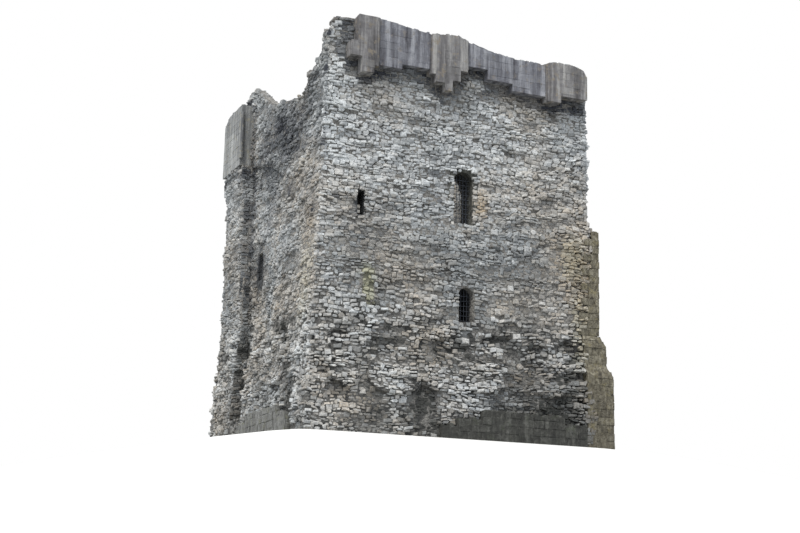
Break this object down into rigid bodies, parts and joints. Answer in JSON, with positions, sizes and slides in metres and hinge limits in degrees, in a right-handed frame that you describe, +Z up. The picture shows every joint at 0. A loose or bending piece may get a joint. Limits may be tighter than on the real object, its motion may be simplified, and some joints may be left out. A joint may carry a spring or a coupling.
{
  "type": "ruined castle keep",
  "caption": "Square ruined stone keep: battered rubble walls, remains of ashlar facing, pilasters and plinth, arched windows and doorway, timber floor.",
  "frame": {"origin": "centre of the square plan, on the ground under the floor of the lower room", "axes": "+Z up, -Y out of the front wall with the tall window, -X out of the left wall"},
  "size_m": [12.78, 12.78, 15.88],
  "materials": {
    "rubble_stone": "rough limestone rubble in lime mortar, weathered",
    "ashlar_stone": "squared gritstone blocks, rain-streaked and weathered",
    "quoin_stone": "squared buff gritstone blocks with lichen",
    "flagstone": "worn stone flags",
    "oak": "sawn oak, grey with age",
    "iron": "dark painted iron bars"
  },
  "bodies": {
    "root": {"ground_floor": "flagstone", "floor_beams": "oak", "floor_joists": "oak", "floor_boards": "oak", "front_wall_lower": "rubble_stone", "right_wall_lower": "rubble_stone", "back_wall_lower": "rubble_stone", "left_wall_lower": "rubble_stone", "front_wall_upper": "rubble_stone", "right_wall_upper": "rubble_stone", "back_wall_upper": "rubble_stone", "left_wall_upper": "rubble_stone", "front_parapet": "rubble_stone", "right_parapet": "rubble_stone", "back_parapet": "rubble_stone", "left_parapet": "rubble_stone", "front_ashlar_band": "ashlar_stone", "front_left_pilaster": "ashlar_stone", "front_middle_pilaster": "ashlar_stone", "front_right_pilaster": "ashlar_stone", "right_ashlar_band": "ashlar_stone", "right_left_pilaster": "ashlar_stone", "right_middle_pilaster": "ashlar_stone", "right_far_pilaster": "ashlar_stone", "back_ashlar_band": "ashlar_stone", "back_middle_pilaster": "ashlar_stone", "back_left_pilaster": "ashlar_stone", "far_corner_pilaster": "ashlar_stone", "far_corner_rubble": "rubble_stone", "corner_quoins": "quoin_stone", "corner_plinth": "quoin_stone", "front_plinth": "ashlar_stone", "left_plinth": "ashlar_stone", "back_plinth": "ashlar_stone", "right_plinth": "ashlar_stone", "front_window_jambs": "ashlar_stone", "front_window_arch": "ashlar_stone", "right_window_jambs": "ashlar_stone", "right_window_arch": "ashlar_stone", "doorway_jambs": "ashlar_stone", "doorway_arch": "ashlar_stone", "doorway_threshold": "ashlar_stone"}
  },
  "joints": []
}
